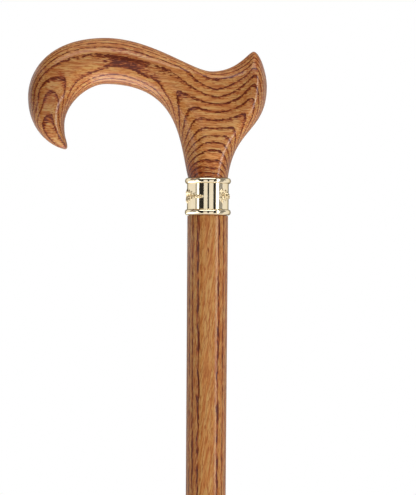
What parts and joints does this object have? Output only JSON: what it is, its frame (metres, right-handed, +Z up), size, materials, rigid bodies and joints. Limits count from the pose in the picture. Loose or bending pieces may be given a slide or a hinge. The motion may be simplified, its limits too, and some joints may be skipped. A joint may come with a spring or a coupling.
{
  "type": "walking cane",
  "caption": "Wooden walking cane: hooked derby handle with a rear horn, brass collar, slim tapered shaft and a pull-off rubber tip.",
  "frame": {"origin": "centre of the rubber tip's sole, on the ground, on the shaft's axis", "axes": "+Z up along the shaft; the handle's hook points to -X and its horn to +X; Y runs across the handle"},
  "size_m": [0.1253, 0.0336, 0.915],
  "materials": {
    "handle_wood": "oiled open-grained oak, golden brown with dark brown growth rings, satin lacquer",
    "shaft_wood": "stained oak, straight grain with dark open pores along the shaft, satin lacquer",
    "collar_brass": "polished pale brass with beaded rims and raised leaf sprigs",
    "screw_steel": "zinc-plated",
    "tip_rubber": "matt black moulded rubber",
    "washer_steel": "plain punched steel"
  },
  "bodies": {
    "cane": {"handle": "handle_wood", "collar": "collar_brass", "shaft": "shaft_wood", "joining_screw": "screw_steel"},
    "tip": {"ferrule": "tip_rubber", "ferrule_washer": "washer_steel"}
  },
  "joints": [
    {"name": "tip_pull_off", "type": "slide", "parent": "cane", "child": "tip", "axis": [0, 0, -1], "range_m": [0, 0.045]}
  ]
}
